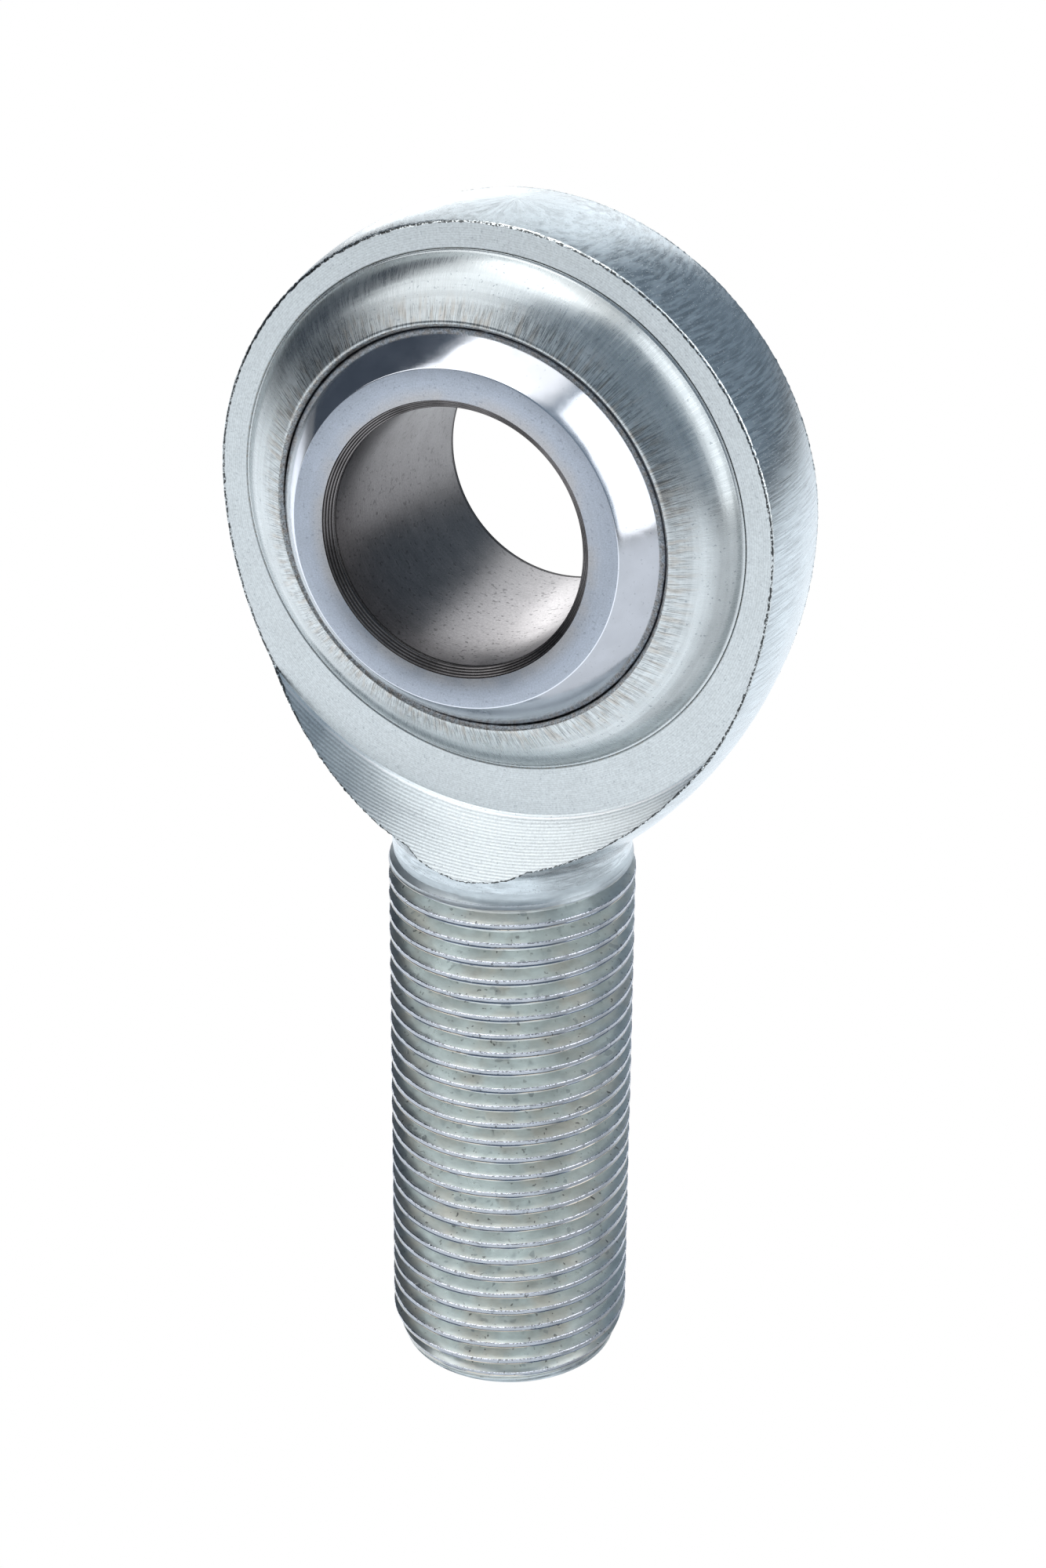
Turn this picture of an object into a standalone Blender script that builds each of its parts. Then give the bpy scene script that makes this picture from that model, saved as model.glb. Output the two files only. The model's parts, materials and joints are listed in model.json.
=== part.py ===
"""Male rod end bearing: a threaded rod body, the race in its head and the ball in the race.

World frame: the centre of the shank's flat end is the origin, the shank runs up +Z and the
ball's bore runs along Y, tipped a little in the race. Lengths are in metres.
"""

import math

import bmesh
import bpy
from mathutils import Matrix, Vector

MM = 0.001

# Ball
BORE_DIAMETER = 19.05 * MM
BALL_WIDTH = 22.225 * MM
BALL_DIAMETER = 33.32 * MM
BORE_CHAMFER = 0.45 * MM
BALL_TIP_DEGREES = 3.62
BALL_TIP_AXIS = Vector((-0.862, 0.0, 0.507)).normalized()

# Race: a ring whose two rounded ends stand proud of the head's faces
RACE_RADIUS = 19.40 * MM
RACE_BALL_GAP = 0.30 * MM
LIP_FOOT_HEIGHT = 4.75 * MM
LIP_CREST_RADIUS = 15.30 * MM
LIP_CREST_HEIGHT = 7.80 * MM
LIP_MOUTH_HEIGHT = 7.42 * MM
LIP_CONE_RADIUS = 17.70 * MM
LIP_CONE_HEIGHT = 6.55 * MM
LIP_BEND_DEGREES = 30.0

# Rod body head
CENTRE_HEIGHT = 73.025 * MM
HEAD_RADIUS = 22.225 * MM
HEAD_CROWN_POWER = 1.94
SHOULDER_RADIUS = 33.0 * MM
FACE_HALF_WIDTH = 4.45 * MM
SEAT_GAP = 0.30 * MM
SCOOP_RADIUS = 23.5 * MM
SCOOP_RAMP_RADIUS = 9.5 * MM
SCOOP_START_DEGREES = 62.0
SCOOP_END_DEGREES = 48.0

# Shank
NECK_RADIUS = 9.20 * MM
NECK_TOP = 46.6 * MM
SHOULDER_START = 47.2 * MM
THREAD_RADIUS = 9.525 * MM
THREAD_PITCH = 25.4 / 16 * MM
THREAD_DEPTH = 0.6134 * THREAD_PITCH
THREAD_TURNS = 28
THREAD_START = 0.42 * MM
# The crest's two edges, as shares of the pitch above the root below it
CREST_START, CREST_END = 0.52, 0.645
RUNOUT_START = 43.6 * MM
RUNOUT_END = 44.9 * MM
END_RADIUS = 8.62 * MM
END_CHAMFER_HEIGHT = 2.5 * MM

# Facets
SHANK_SEGMENTS = 24
HEAD_SEGMENTS = 48
RING_SEGMENTS = 64
CUTTER_SEGMENTS = 64
CUTTER_REACH = 34.0 * MM

BALL_CENTRE = Vector((0.0, 0.0, CENTRE_HEIGHT))
Z_TO_BORE_AXIS = Matrix.Rotation(math.radians(-90.0), 4, "X")


def clear_scene():
    for item in list(bpy.data.objects):
        bpy.data.objects.remove(item, do_unlink=True)


def make_material(name, colour, roughness, metallic):
    material = bpy.data.materials.new(name)
    material.use_nodes = True
    shader = material.node_tree.nodes["Principled BSDF"]
    shader.inputs["Base Color"].default_value = (*colour, 1.0)
    shader.inputs["Roughness"].default_value = roughness
    shader.inputs["Metallic"].default_value = metallic
    return material


def add_object(name, mesh_edit, material=None):
    """Turn a bmesh into an object whose faces point outwards."""
    bmesh.ops.recalc_face_normals(mesh_edit, faces=mesh_edit.faces)
    mesh = bpy.data.meshes.new(name)
    mesh_edit.to_mesh(mesh)
    mesh_edit.free()
    mesh.shade_smooth()
    mesh.set_sharp_from_angle(angle=math.radians(30.0))
    item = bpy.data.objects.new(name, mesh)
    bpy.context.scene.collection.objects.link(item)
    if material:
        mesh.materials.append(material)
    return item


def ring(mesh_edit, radius, height, segments):
    """Vertices round Z at one radius and height; radius 0 is a single pole."""
    if radius == 0.0:
        return [mesh_edit.verts.new((0.0, 0.0, height))]
    step = 2.0 * math.pi / segments
    return [mesh_edit.verts.new((radius * math.cos(i * step), radius * math.sin(i * step), height))
            for i in range(segments)]


def join_rings(mesh_edit, lower, upper):
    """Faces between two rings: equal rings, a pole and a ring, or a ring and one twice as fine."""
    count = max(len(lower), len(upper))
    for i in range(count):
        k = (i + 1) % count
        below = [lower[j * len(lower) // count] for j in (i, k)]
        above = [upper[j * len(upper) // count] for j in (k, i)]
        corners = list(dict.fromkeys(below + above))
        mesh_edit.faces.new(corners)


def turned(outline, segments, closed=False):
    """Turn an outline of (radius, height) points round Z."""
    mesh_edit = bmesh.new()
    rings = [ring(mesh_edit, radius, height, segments) for radius, height in outline]
    pairs = list(zip(rings, rings[1:]))
    if closed:
        pairs.append((rings[-1], rings[0]))
    for lower, upper in pairs:
        join_rings(mesh_edit, lower, upper)
    return mesh_edit


def mirrored(outline):
    """The half outline given, then its reflection in height 0."""
    return outline + [(radius, -height) for radius, height in reversed(outline) if height > 0.0]


def bent_line(start, end, bend_degrees, steps):
    """An arc from start to end that turns right by bend_degrees, or left where that is negative."""
    start, end = Vector(start), Vector(end)
    chord = end - start
    half = math.radians(bend_degrees) / 2.0
    radius = abs(chord.length / (2.0 * math.sin(half)))
    side = Vector((-chord.y, chord.x)).normalized() * math.copysign(1.0, bend_degrees)
    centre = (start + end) / 2.0 - side * radius * math.cos(half)
    first = math.atan2(start.y - centre.y, start.x - centre.x)
    turn = -2.0 * half
    return [(centre.x + radius * math.cos(first + turn * i / steps),
             centre.y + radius * math.sin(first + turn * i / steps)) for i in range(steps + 1)]


def sphere_arc(radius, low, high, steps):
    """Points (radius, height) on a sphere from one height to another."""
    start, end = math.asin(low / radius), math.asin(high / radius)
    angles = [start + (end - start) * i / steps for i in range(steps + 1)]
    return [(radius * math.cos(angle), radius * math.sin(angle)) for angle in angles]


def thread_radius(on_crest, height):
    """Radius of a rolled 60 degree thread, with its end chamfer and its runout at the neck."""
    radius = THREAD_RADIUS if on_crest else THREAD_RADIUS - THREAD_DEPTH
    chamfer = END_RADIUS + (THREAD_RADIUS - END_RADIUS) * height / END_CHAMFER_HEIGHT
    radius = min(radius, chamfer)
    fade = (RUNOUT_END - height) / (RUNOUT_END - RUNOUT_START)
    fade = max(0.0, min(1.0, fade))
    return NECK_RADIUS + (radius - NECK_RADIUS) * fade


def thread_rows(mesh_edit):
    """Rows of vertices that climb with the right-hand thread: a root row and two crest rows a turn."""
    rows = []
    for turn in range(THREAD_TURNS + 1):
        knots = (0.0, CREST_START, CREST_END) if turn < THREAD_TURNS else (0.0,)
        for knot in knots:
            row = []
            for i in range(SHANK_SEGMENTS):
                share = i / SHANK_SEGMENTS
                height = THREAD_START + THREAD_PITCH * (turn + knot + share)
                radius = thread_radius(knot > 0.0, height)
                angle = 2.0 * math.pi * share
                place = (radius * math.cos(angle), radius * math.sin(angle), height)
                row.append(mesh_edit.verts.new(place))
            rows.append(row)
    return rows


def add_thread(mesh_edit, below, above):
    """Fill the shank between the ring below and the ring above with the thread."""
    rows = thread_rows(mesh_edit)
    per_turn = 3
    last = SHANK_SEGMENTS - 1
    for lower, upper in zip(rows, rows[1:]):
        for i in range(last):
            mesh_edit.faces.new((lower[i], lower[i + 1], upper[i + 1], upper[i]))
    for index in range(len(rows) - 1 - per_turn):
        lower, upper = rows[index], rows[index + 1]
        over, next_over = rows[index + per_turn], rows[index + per_turn + 1]
        mesh_edit.faces.new((lower[last], over[0], next_over[0], upper[last]))
    for i in range(last):
        mesh_edit.faces.new((below[i], below[i + 1], rows[0][i + 1], rows[0][i]))
        mesh_edit.faces.new((rows[-1][i], rows[-1][i + 1], above[i + 1], above[i]))
    seam_low = [below[0]] + [row[0] for row in rows[:per_turn + 1]]
    mesh_edit.faces.new((below[last], below[0], rows[0][last]))
    for low, high in zip(seam_low, seam_low[1:]):
        mesh_edit.faces.new((rows[0][last], low, high))
    seam_high = [row[last] for row in rows[-1 - per_turn:]] + [above[last]]
    for low, high in zip(seam_high, seam_high[1:]):
        mesh_edit.faces.new((low, rows[-1][0], high))
    mesh_edit.faces.new((rows[-1][0], above[0], above[last]))


def head_outline():
    """The turned outside of the head, from the top of the neck to the crown."""
    outline = []
    steps = 12
    arc_centre = HEAD_RADIUS - SHOULDER_RADIUS
    steepest = math.asin((CENTRE_HEIGHT - SHOULDER_START) / SHOULDER_RADIUS)
    for i in range(steps):
        angle = steepest * (1.0 - i / steps)
        outline.append((arc_centre + SHOULDER_RADIUS * math.cos(angle),
                        CENTRE_HEIGHT - SHOULDER_RADIUS * math.sin(angle)))
    for i in range(steps):
        rise = math.sin(math.radians(90.0) * i / steps)
        radius = HEAD_RADIUS * (1.0 - rise ** HEAD_CROWN_POWER) ** (1.0 / HEAD_CROWN_POWER)
        outline.append((radius, CENTRE_HEIGHT + HEAD_RADIUS * rise))
    outline.append((0.0, CENTRE_HEIGHT + HEAD_RADIUS))
    return outline


def rod_blank():
    """The rod body before its head is milled: end face, thread, neck, shoulder and crown."""
    mesh_edit = bmesh.new()
    pole = ring(mesh_edit, 0.0, 0.0, SHANK_SEGMENTS)
    end_edge = ring(mesh_edit, END_RADIUS, 0.0, SHANK_SEGMENTS)
    neck = ring(mesh_edit, NECK_RADIUS, NECK_TOP, SHANK_SEGMENTS)
    join_rings(mesh_edit, pole, end_edge)
    add_thread(mesh_edit, end_edge, neck)
    below = neck
    for radius, height in head_outline():
        above = ring(mesh_edit, radius, height, HEAD_SEGMENTS)
        join_rings(mesh_edit, below, above)
        below = above
    return mesh_edit


def face_cutter(side):
    """Mills one face of the head flat and scoops the shoulder below it, turning about the bore's axis."""
    steep, shallow = math.radians(SCOOP_START_DEGREES), math.radians(SCOOP_END_DEGREES)
    run = SCOOP_RAMP_RADIUS * (math.sin(steep) - math.sin(shallow))
    rise = SCOOP_RAMP_RADIUS * (math.cos(shallow) - math.cos(steep))
    ramp_end = (SCOOP_RADIUS + run, FACE_HALF_WIDTH + rise)
    ramp = bent_line((SCOOP_RADIUS, FACE_HALF_WIDTH), ramp_end, math.degrees(steep - shallow), 6)
    tail_height = ramp_end[1] + (CUTTER_REACH - ramp_end[0]) * math.tan(shallow)
    outline = [(0.0, FACE_HALF_WIDTH)] + ramp
    outline += [(CUTTER_REACH, tail_height), (CUTTER_REACH, CUTTER_REACH), (0.0, CUTTER_REACH)]
    cutter = add_object("face_cutter", turned(outline, CUTTER_SEGMENTS))
    turn = Z_TO_BORE_AXIS if side > 0 else Matrix.Rotation(math.radians(90.0), 4, "X")
    cutter.matrix_world = Matrix.Translation(BALL_CENTRE) @ turn
    return cutter


def seat_cutter():
    """Bores the head through for the race."""
    radius = RACE_RADIUS + SEAT_GAP
    outline = [(0.0, -CUTTER_REACH), (radius, -CUTTER_REACH), (radius, CUTTER_REACH), (0.0, CUTTER_REACH)]
    cutter = add_object("seat_cutter", turned(outline, CUTTER_SEGMENTS))
    cutter.matrix_world = Matrix.Translation(BALL_CENTRE) @ Z_TO_BORE_AXIS
    return cutter


def cut(target, cutter):
    modifier = target.modifiers.new(cutter.name, "BOOLEAN")
    modifier.operation = "DIFFERENCE"
    modifier.solver = "EXACT"
    modifier.object = cutter
    cutter.hide_render = True
    cutter.display_type = "WIRE"


def make_rod_body():
    zinc = make_material("zinc_plated_steel", (0.62, 0.67, 0.67), 0.32, 1.0)
    body = add_object("rod_body", rod_blank(), zinc)
    cut(body, face_cutter(1))
    cut(body, face_cutter(-1))
    cut(body, seat_cutter())
    return body


def make_race():
    zinc = make_material("zinc_plated_race", (0.60, 0.63, 0.62), 0.28, 1.0)
    inside = BALL_DIAMETER / 2.0 + RACE_BALL_GAP
    foot, cone = (RACE_RADIUS, LIP_FOOT_HEIGHT), (LIP_CONE_RADIUS, LIP_CONE_HEIGHT)
    lip = bent_line(foot, cone, -LIP_BEND_DEGREES, 5) + [(LIP_CREST_RADIUS, LIP_CREST_HEIGHT)]
    bore = sphere_arc(inside, LIP_MOUTH_HEIGHT, 0.0, 6)
    outline = mirrored([(RACE_RADIUS, 0.0)] + lip + bore)
    race = add_object("race", turned(outline, RING_SEGMENTS, closed=True), zinc)
    race.matrix_world = Matrix.Translation(BALL_CENTRE) @ Z_TO_BORE_AXIS
    return race


def make_ball():
    chrome = make_material("hard_chromed_steel", (0.66, 0.68, 0.74), 0.12, 1.0)
    radius, half_width, bore = BALL_DIAMETER / 2.0, BALL_WIDTH / 2.0, BORE_DIAMETER / 2.0
    half = sphere_arc(radius, 0.0, half_width, 8)
    half += [(bore + BORE_CHAMFER, half_width), (bore, half_width - BORE_CHAMFER)]
    outline = mirrored(half)
    ball = add_object("ball", turned(outline, RING_SEGMENTS, closed=True), chrome)
    tip = Matrix.Rotation(math.radians(BALL_TIP_DEGREES), 4, BALL_TIP_AXIS)
    ball.matrix_world = Matrix.Translation(BALL_CENTRE) @ tip @ Z_TO_BORE_AXIS
    return ball


def main():
    clear_scene()
    make_rod_body()
    make_race()
    make_ball()


main()
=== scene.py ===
"""Studio picture of a male rod end bearing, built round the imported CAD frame.

Lengths are in metres, in the CAD's frame: the shank's flat end is at z = 0, the shank runs up +Z,
and the head's bore runs along Y. Three fine pieces stand for the three CAD nodes, and the burr
that the milling cutter leaves on the head's edges is a piece of its own.
"""

import json
import math

import bmesh
import bpy
import numpy as np
from mathutils import Matrix, Vector, noise


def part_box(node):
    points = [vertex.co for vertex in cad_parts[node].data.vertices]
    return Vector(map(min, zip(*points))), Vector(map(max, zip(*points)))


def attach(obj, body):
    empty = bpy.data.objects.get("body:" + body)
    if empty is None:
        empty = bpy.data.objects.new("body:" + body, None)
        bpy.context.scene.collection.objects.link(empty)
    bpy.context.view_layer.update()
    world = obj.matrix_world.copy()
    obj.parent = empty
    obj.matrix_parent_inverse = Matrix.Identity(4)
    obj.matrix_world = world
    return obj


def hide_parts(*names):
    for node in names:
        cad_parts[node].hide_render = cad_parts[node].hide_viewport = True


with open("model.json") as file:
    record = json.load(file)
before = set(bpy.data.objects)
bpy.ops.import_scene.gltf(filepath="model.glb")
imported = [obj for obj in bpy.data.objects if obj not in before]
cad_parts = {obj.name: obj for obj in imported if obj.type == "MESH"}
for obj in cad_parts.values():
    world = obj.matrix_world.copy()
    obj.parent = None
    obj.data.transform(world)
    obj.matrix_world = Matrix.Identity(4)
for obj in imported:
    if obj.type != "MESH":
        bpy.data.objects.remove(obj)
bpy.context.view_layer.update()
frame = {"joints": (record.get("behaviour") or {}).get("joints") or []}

MM = 0.001

# Taken from the frame
SWIVEL = {joint["name"]: joint for joint in frame["joints"]}
CENTRE = Vector(SWIVEL["ball_tilt"]["pos_m"])
TIP_AXIS = Vector(SWIVEL["ball_tilt"]["axis"]).normalized()
HEAD_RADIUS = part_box("rod_body")[1].x
LIP_CREST_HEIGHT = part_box("race")[1].y

# Ball
BORE_RADIUS = 9.525 * MM
BALL_HALF_WIDTH = 11.1125 * MM
BALL_RADIUS = 16.66 * MM
BORE_CHAMFER = 0.62 * MM
BORE_RINGS = 4
BORE_RING_DIP = 0.025 * MM
BORE_RING_START = 0.05 * MM
BORE_RING_PITCH = 0.08 * MM
BALL_ROUND_EDGE = 0.07 * MM
BALL_TIP = math.radians(3.62)

# Race
RACE_RADIUS = 19.66 * MM
RACE_BALL_GAP = 0.06 * MM
LIP_FOOT_FILLET = 0.25 * MM
LIP_FOOT_SLOPE = math.radians(62.0)
LIP_CREST_SLOPE = math.radians(28.0)
LIP_CONE_RADIUS = 17.40 * MM
LIP_CREST_RADIUS = 15.28 * MM
LIP_MOUTH_RADIUS = 14.98 * MM
LIP_FOOT_SINK = 0.02 * MM
LIP_FOOT_ROW = 0.10 * MM
SOCKET_STEPS = 12
LIP_LUMP_SHARES = (0.35, 0.8, 1.0, 1.0, 0.6)

# Head
CROWN_POWER = 1.94
SHOULDER_RADIUS = 33.0 * MM
FACE_HALF_WIDTH = 4.45 * MM
ON_FACE = 0.01 * MM
SEAT_RADIUS = 19.70 * MM
SEAT_CHAMFER = 0.08 * MM
SCOOP_RADIUS = 23.5 * MM
SCOOP_RAMP_RADIUS = 9.5 * MM
SCOOP_STEEP = math.radians(62.0)
SCOOP_SHALLOW = math.radians(48.0)
CUTTER_REACH = 34.0 * MM
SCOOP_LINE_PITCH = 0.17 * MM
SCOOP_SHADING = 0.78
SCOOP_FLATNESS = 0.72

# Burr on the head's milled edges
BURR_SPACING = 0.10 * MM
BURR_SIDES = 6
BURR_BLEND = 1.5 * MM
SHORTEST_EDGE_LINE = 100

# Shank
NECK_RADIUS = 9.20 * MM
NECK_JOIN = 45.0 * MM
NECK_STRAIGHT = 0.8 * MM
NECK_FILLET_BEND = math.radians(36.0)
SHOULDER_START = 47.0 * MM
THREAD_RADIUS = 9.525 * MM
THREAD_PITCH = 25.4 / 16.0 * MM
THREAD_DEPTH = 0.6134 * THREAD_PITCH
THREAD_TURNS = 28
RAGGED_DEPTH = 0.040 * MM
CREST_HEIGHT_AT_ZERO = 1.3475 * MM
RUNOUT_START = 43.2 * MM
RUNOUT_END = 44.8 * MM
END_RADIUS = 8.62 * MM
END_CHAMFER_HEIGHT = 2.5 * MM

# How finely the pieces are cut
AROUND = 180
RING_AROUND = 512
SHOULDER_STEPS = 44
CROWN_STEPS = 64
JUST_PAST = 0.001 * MM
BODY_SHARP_ANGLE = math.radians(35.0)
BALL_SHARP_ANGLE = math.radians(30.0)

# Regions of a piece, each with a material of its own
BARREL, MILLED, SEAT, THREAD, SCOOP = range(5)
LIP, LIP_END, SOCKET = range(3)
BAND, FLAT, CHAMFER, BORE = range(4)

# Camera: azimuth 0 looks along +Y
CAMERA_AZIMUTH = math.radians(24.387)
CAMERA_ELEVATION = math.radians(26.666)
CAMERA_ROLL = math.radians(0.445)
CAMERA_DISTANCE = 246.70 * MM
CAMERA_TARGET = Vector((0.703, 0.319, 49.569)) * MM
LENS_MM = 74.51
SENSOR_MM = 36.0

# Lights: name, azimuth, elevation, the angles that each covers across and up (degrees), radiance
SOFTBOXES = (("key", -42.0, 54.0, 43.0, 68.0, 1.36),
             ("right", 88.0, 25.0, 33.0, 70.0, 1.5),
             ("behind", -159.0, 20.0, 38.0, 60.0, 1.2),
             ("doorway", -149.0, 4.0, 14.0, 16.0, 1.3))
SOFTBOX_DISTANCE = 0.8
ROOM_LEFT = (0.055, 0.068, 0.088)
ROOM_RIGHT = (0.21, 0.26, 0.315)
CEILING = (1.32, 1.32, 1.32)
WHITE = (1.0, 1.0, 1.0)
FLOOR_REACH = 4.0
PAPER_GLOW = 0.62

# A ring is modelled about Z and then laid along the bore
LAID_OVER = Matrix.Rotation(math.radians(-90.0), 4, "X")
BORE_FRAME = Matrix.Translation(CENTRE) @ LAID_OVER


# ---------- meshes

def add_object(name, data):
    item = bpy.data.objects.new(name, data)
    bpy.context.scene.collection.objects.link(item)
    return item


def mesh_object(name, mesh, materials):
    for material in materials:
        mesh.materials.append(material)
    return add_object(name, mesh)


def evaluated_mesh(item):
    """The object's mesh with its modifiers applied, as a mesh of its own."""
    bpy.context.view_layer.update()
    graph = bpy.context.evaluated_depsgraph_get()
    return bpy.data.meshes.new_from_object(item.evaluated_get(graph))


def to_mesh(mesh_edit, name):
    mesh = bpy.data.meshes.new(name)
    mesh_edit.to_mesh(mesh)
    mesh_edit.free()
    return mesh


def about_z(radius, angle, height):
    return radius * math.cos(angle), radius * math.sin(angle), height


def turned_mesh(name, outline, around, closed=False, roughen=None):
    """Turns an outline of (radius, height) points round Z. roughen moves a point along the outline."""
    count = len(outline)
    angles = np.arange(around) * (2.0 * math.pi / around)
    mesh_edit = bmesh.new()
    rows = []
    for index, (radius, height) in enumerate(outline):
        if radius == 0.0:
            rows.append([mesh_edit.verts.new((0.0, 0.0, height))] * around)
            continue
        row = []
        for angle in angles:
            r, h = roughen(index, radius, height, angle) if roughen else (radius, height)
            row.append(mesh_edit.verts.new(about_z(r, angle, h)))
        rows.append(row)
    last = count if closed else count - 1
    for index in range(last):
        lower, upper = rows[index], rows[(index + 1) % count]
        for i in range(around):
            k = (i + 1) % around
            corners = list(dict.fromkeys((lower[i], lower[k], upper[k], upper[i])))
            mesh_edit.faces.new(corners)
    bmesh.ops.recalc_face_normals(mesh_edit, faces=mesh_edit.faces)
    mesh = to_mesh(mesh_edit, name)
    mesh.shade_smooth()
    return mesh


def paint(mesh, rule):
    """Gives each face the material whose number rule returns for its centre's (radius, height)."""
    for face in mesh.polygons:
        x, y, z = face.center
        face.material_index = rule(math.hypot(x, y), abs(z))


def arc(start, end, bend, steps):
    """An arc from start to end that turns right by bend radians, or left where that is negative."""
    start, end = Vector(start), Vector(end)
    chord = end - start
    half = bend / 2.0
    radius = abs(chord.length / (2.0 * math.sin(half)))
    side = Vector((-chord.y, chord.x)).normalized() * math.copysign(1.0, bend)
    middle = (start + end) / 2.0 - side * radius * math.cos(half)
    first = math.atan2(start.y - middle.y, start.x - middle.x)
    return [(middle.x + radius * math.cos(first - bend * i / steps),
             middle.y + radius * math.sin(first - bend * i / steps)) for i in range(steps + 1)]


def sphere_arc(radius, low, high, steps):
    start, end = math.asin(low / radius), math.asin(high / radius)
    angles = [start + (end - start) * i / steps for i in range(steps + 1)]
    return [(radius * math.cos(angle), radius * math.sin(angle)) for angle in angles]


def mirrored(half):
    """The half outline given, then its reflection in height 0."""
    return half + [(radius, -height) for radius, height in reversed(half) if height > 0.0]


# ---------- shank

def thread_profile():
    """One pitch of the rolled thread as (height share, depth share, raggedness), from root to root.
    The crest, at 0.5, is two flat ridges with a shallow seam between them. Its upper edge is ragged."""
    below = [(0.0, 1.000, 0.0), (0.060, 0.985, 0.0), (0.105, 0.880, 0.0), (0.350, 0.090, 0.0),
             (0.374, 0.015, 0.0), (0.408, 0.000, 0.1), (0.440, 0.034, 0.1)]
    above = [(0.560, 0.034, 0.2), (0.586, 0.014, 0.7), (0.610, 0.000, 1.0), (0.634, 0.030, 1.0),
             (0.654, 0.105, 0.3), (0.895, 0.880, 0.0), (0.940, 0.985, 0.0)]
    return below + above


def thread_radius(depth, ragged, height, angle):
    """The shank's radius where the thread's profile has this depth, with end chamfer and runout."""
    spot = Vector((math.cos(angle), math.sin(angle), height / THREAD_PITCH))
    wander = 0.5 + 0.6 * noise.noise(spot * 5.0) + 0.6 * noise.noise(spot * 31.0)
    radius = THREAD_RADIUS - THREAD_DEPTH * depth - RAGGED_DEPTH * ragged * max(0.0, wander)
    chamfer = END_RADIUS + (THREAD_RADIUS - END_RADIUS) * height / END_CHAMFER_HEIGHT
    radius = min(radius, chamfer)
    fade = max(0.0, min(1.0, (RUNOUT_END - height) / (RUNOUT_END - RUNOUT_START)))
    fade = fade * fade * (3.0 - 2.0 * fade)
    return NECK_RADIUS + (radius - NECK_RADIUS) * fade


def shank_mesh():
    """The threaded shank from its end face up to the neck: rows that climb with the right-hand thread."""
    profile = thread_profile()
    per_turn = len(profile)
    start = CREST_HEIGHT_AT_ZERO - 0.5 * THREAD_PITCH
    step = 2.0 * math.pi / AROUND
    rows = []
    mesh_edit = bmesh.new()
    for turn in range(-2, THREAD_TURNS + 2):
        for share, depth, ragged in profile:
            row = []
            for i in range(AROUND):
                angle = i * step
                height = start + THREAD_PITCH * (turn + share + i / AROUND)
                if height <= 0.0:
                    radius, height = END_RADIUS, 0.0
                elif height >= NECK_JOIN:
                    radius, height = NECK_RADIUS, NECK_JOIN
                else:
                    radius = thread_radius(depth, ragged, height, angle)
                row.append(mesh_edit.verts.new(about_z(radius, angle, height)))
            rows.append(row)
    for index in range(len(rows) - 1):
        lower, upper = rows[index], rows[index + 1]
        for i in range(AROUND - 1):
            mesh_edit.faces.new((lower[i], lower[i + 1], upper[i + 1], upper[i]))
    for index in range(len(rows) - 1 - per_turn):
        lower, upper = rows[index], rows[index + 1]
        over, next_over = rows[index + per_turn], rows[index + per_turn + 1]
        mesh_edit.faces.new((lower[-1], over[0], next_over[0], upper[-1]))
    bmesh.ops.remove_doubles(mesh_edit, verts=mesh_edit.verts, dist=1e-7)
    bottom = [e for e in mesh_edit.edges if e.is_boundary and e.verts[0].co.z < JUST_PAST]
    bmesh.ops.contextual_create(mesh_edit, geom=bottom)
    return to_mesh(mesh_edit, "shank")


# ---------- head

def head_outline():
    """The turned outside of the head as (radius, height), from the neck to the crown."""
    arc_middle = HEAD_RADIUS - SHOULDER_RADIUS
    steepest = math.asin((CENTRE.z - SHOULDER_START) / SHOULDER_RADIUS)
    outline = [(0.0, NECK_JOIN), (NECK_RADIUS, NECK_JOIN), (NECK_RADIUS, NECK_JOIN + NECK_STRAIGHT)]
    shoulder = []
    for i in range(SHOULDER_STEPS):
        angle = steepest * (1.0 - i / SHOULDER_STEPS)
        shoulder.append((arc_middle + SHOULDER_RADIUS * math.cos(angle),
                         CENTRE.z - SHOULDER_RADIUS * math.sin(angle)))
    outline += arc(outline[-1], shoulder[0], -NECK_FILLET_BEND, 6)[1:-1] + shoulder
    for i in range(CROWN_STEPS):
        turn = math.radians(90.0) * i / CROWN_STEPS
        outline.append((HEAD_RADIUS * math.cos(turn) ** (2.0 / CROWN_POWER),
                        CENTRE.z + HEAD_RADIUS * math.sin(turn) ** (2.0 / CROWN_POWER)))
    outline.append((0.0, CENTRE.z + HEAD_RADIUS))
    return outline


def scoop_outline():
    """The outline, turned about the bore's axis, that mills one face and scoops the shoulder."""
    run = SCOOP_RAMP_RADIUS * (math.sin(SCOOP_STEEP) - math.sin(SCOOP_SHALLOW))
    rise = SCOOP_RAMP_RADIUS * (math.cos(SCOOP_SHALLOW) - math.cos(SCOOP_STEEP))
    start = (SCOOP_RADIUS, FACE_HALF_WIDTH)
    end = (SCOOP_RADIUS + run, FACE_HALF_WIDTH + rise)
    tail = end[1] + (CUTTER_REACH - end[0]) * math.tan(SCOOP_SHALLOW)
    return [(0.0, FACE_HALF_WIDTH)] + arc(start, end, SCOOP_STEEP - SCOOP_SHALLOW, 16) \
        + [(CUTTER_REACH, tail), (CUTTER_REACH, CUTTER_REACH), (0.0, CUTTER_REACH)]


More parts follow.
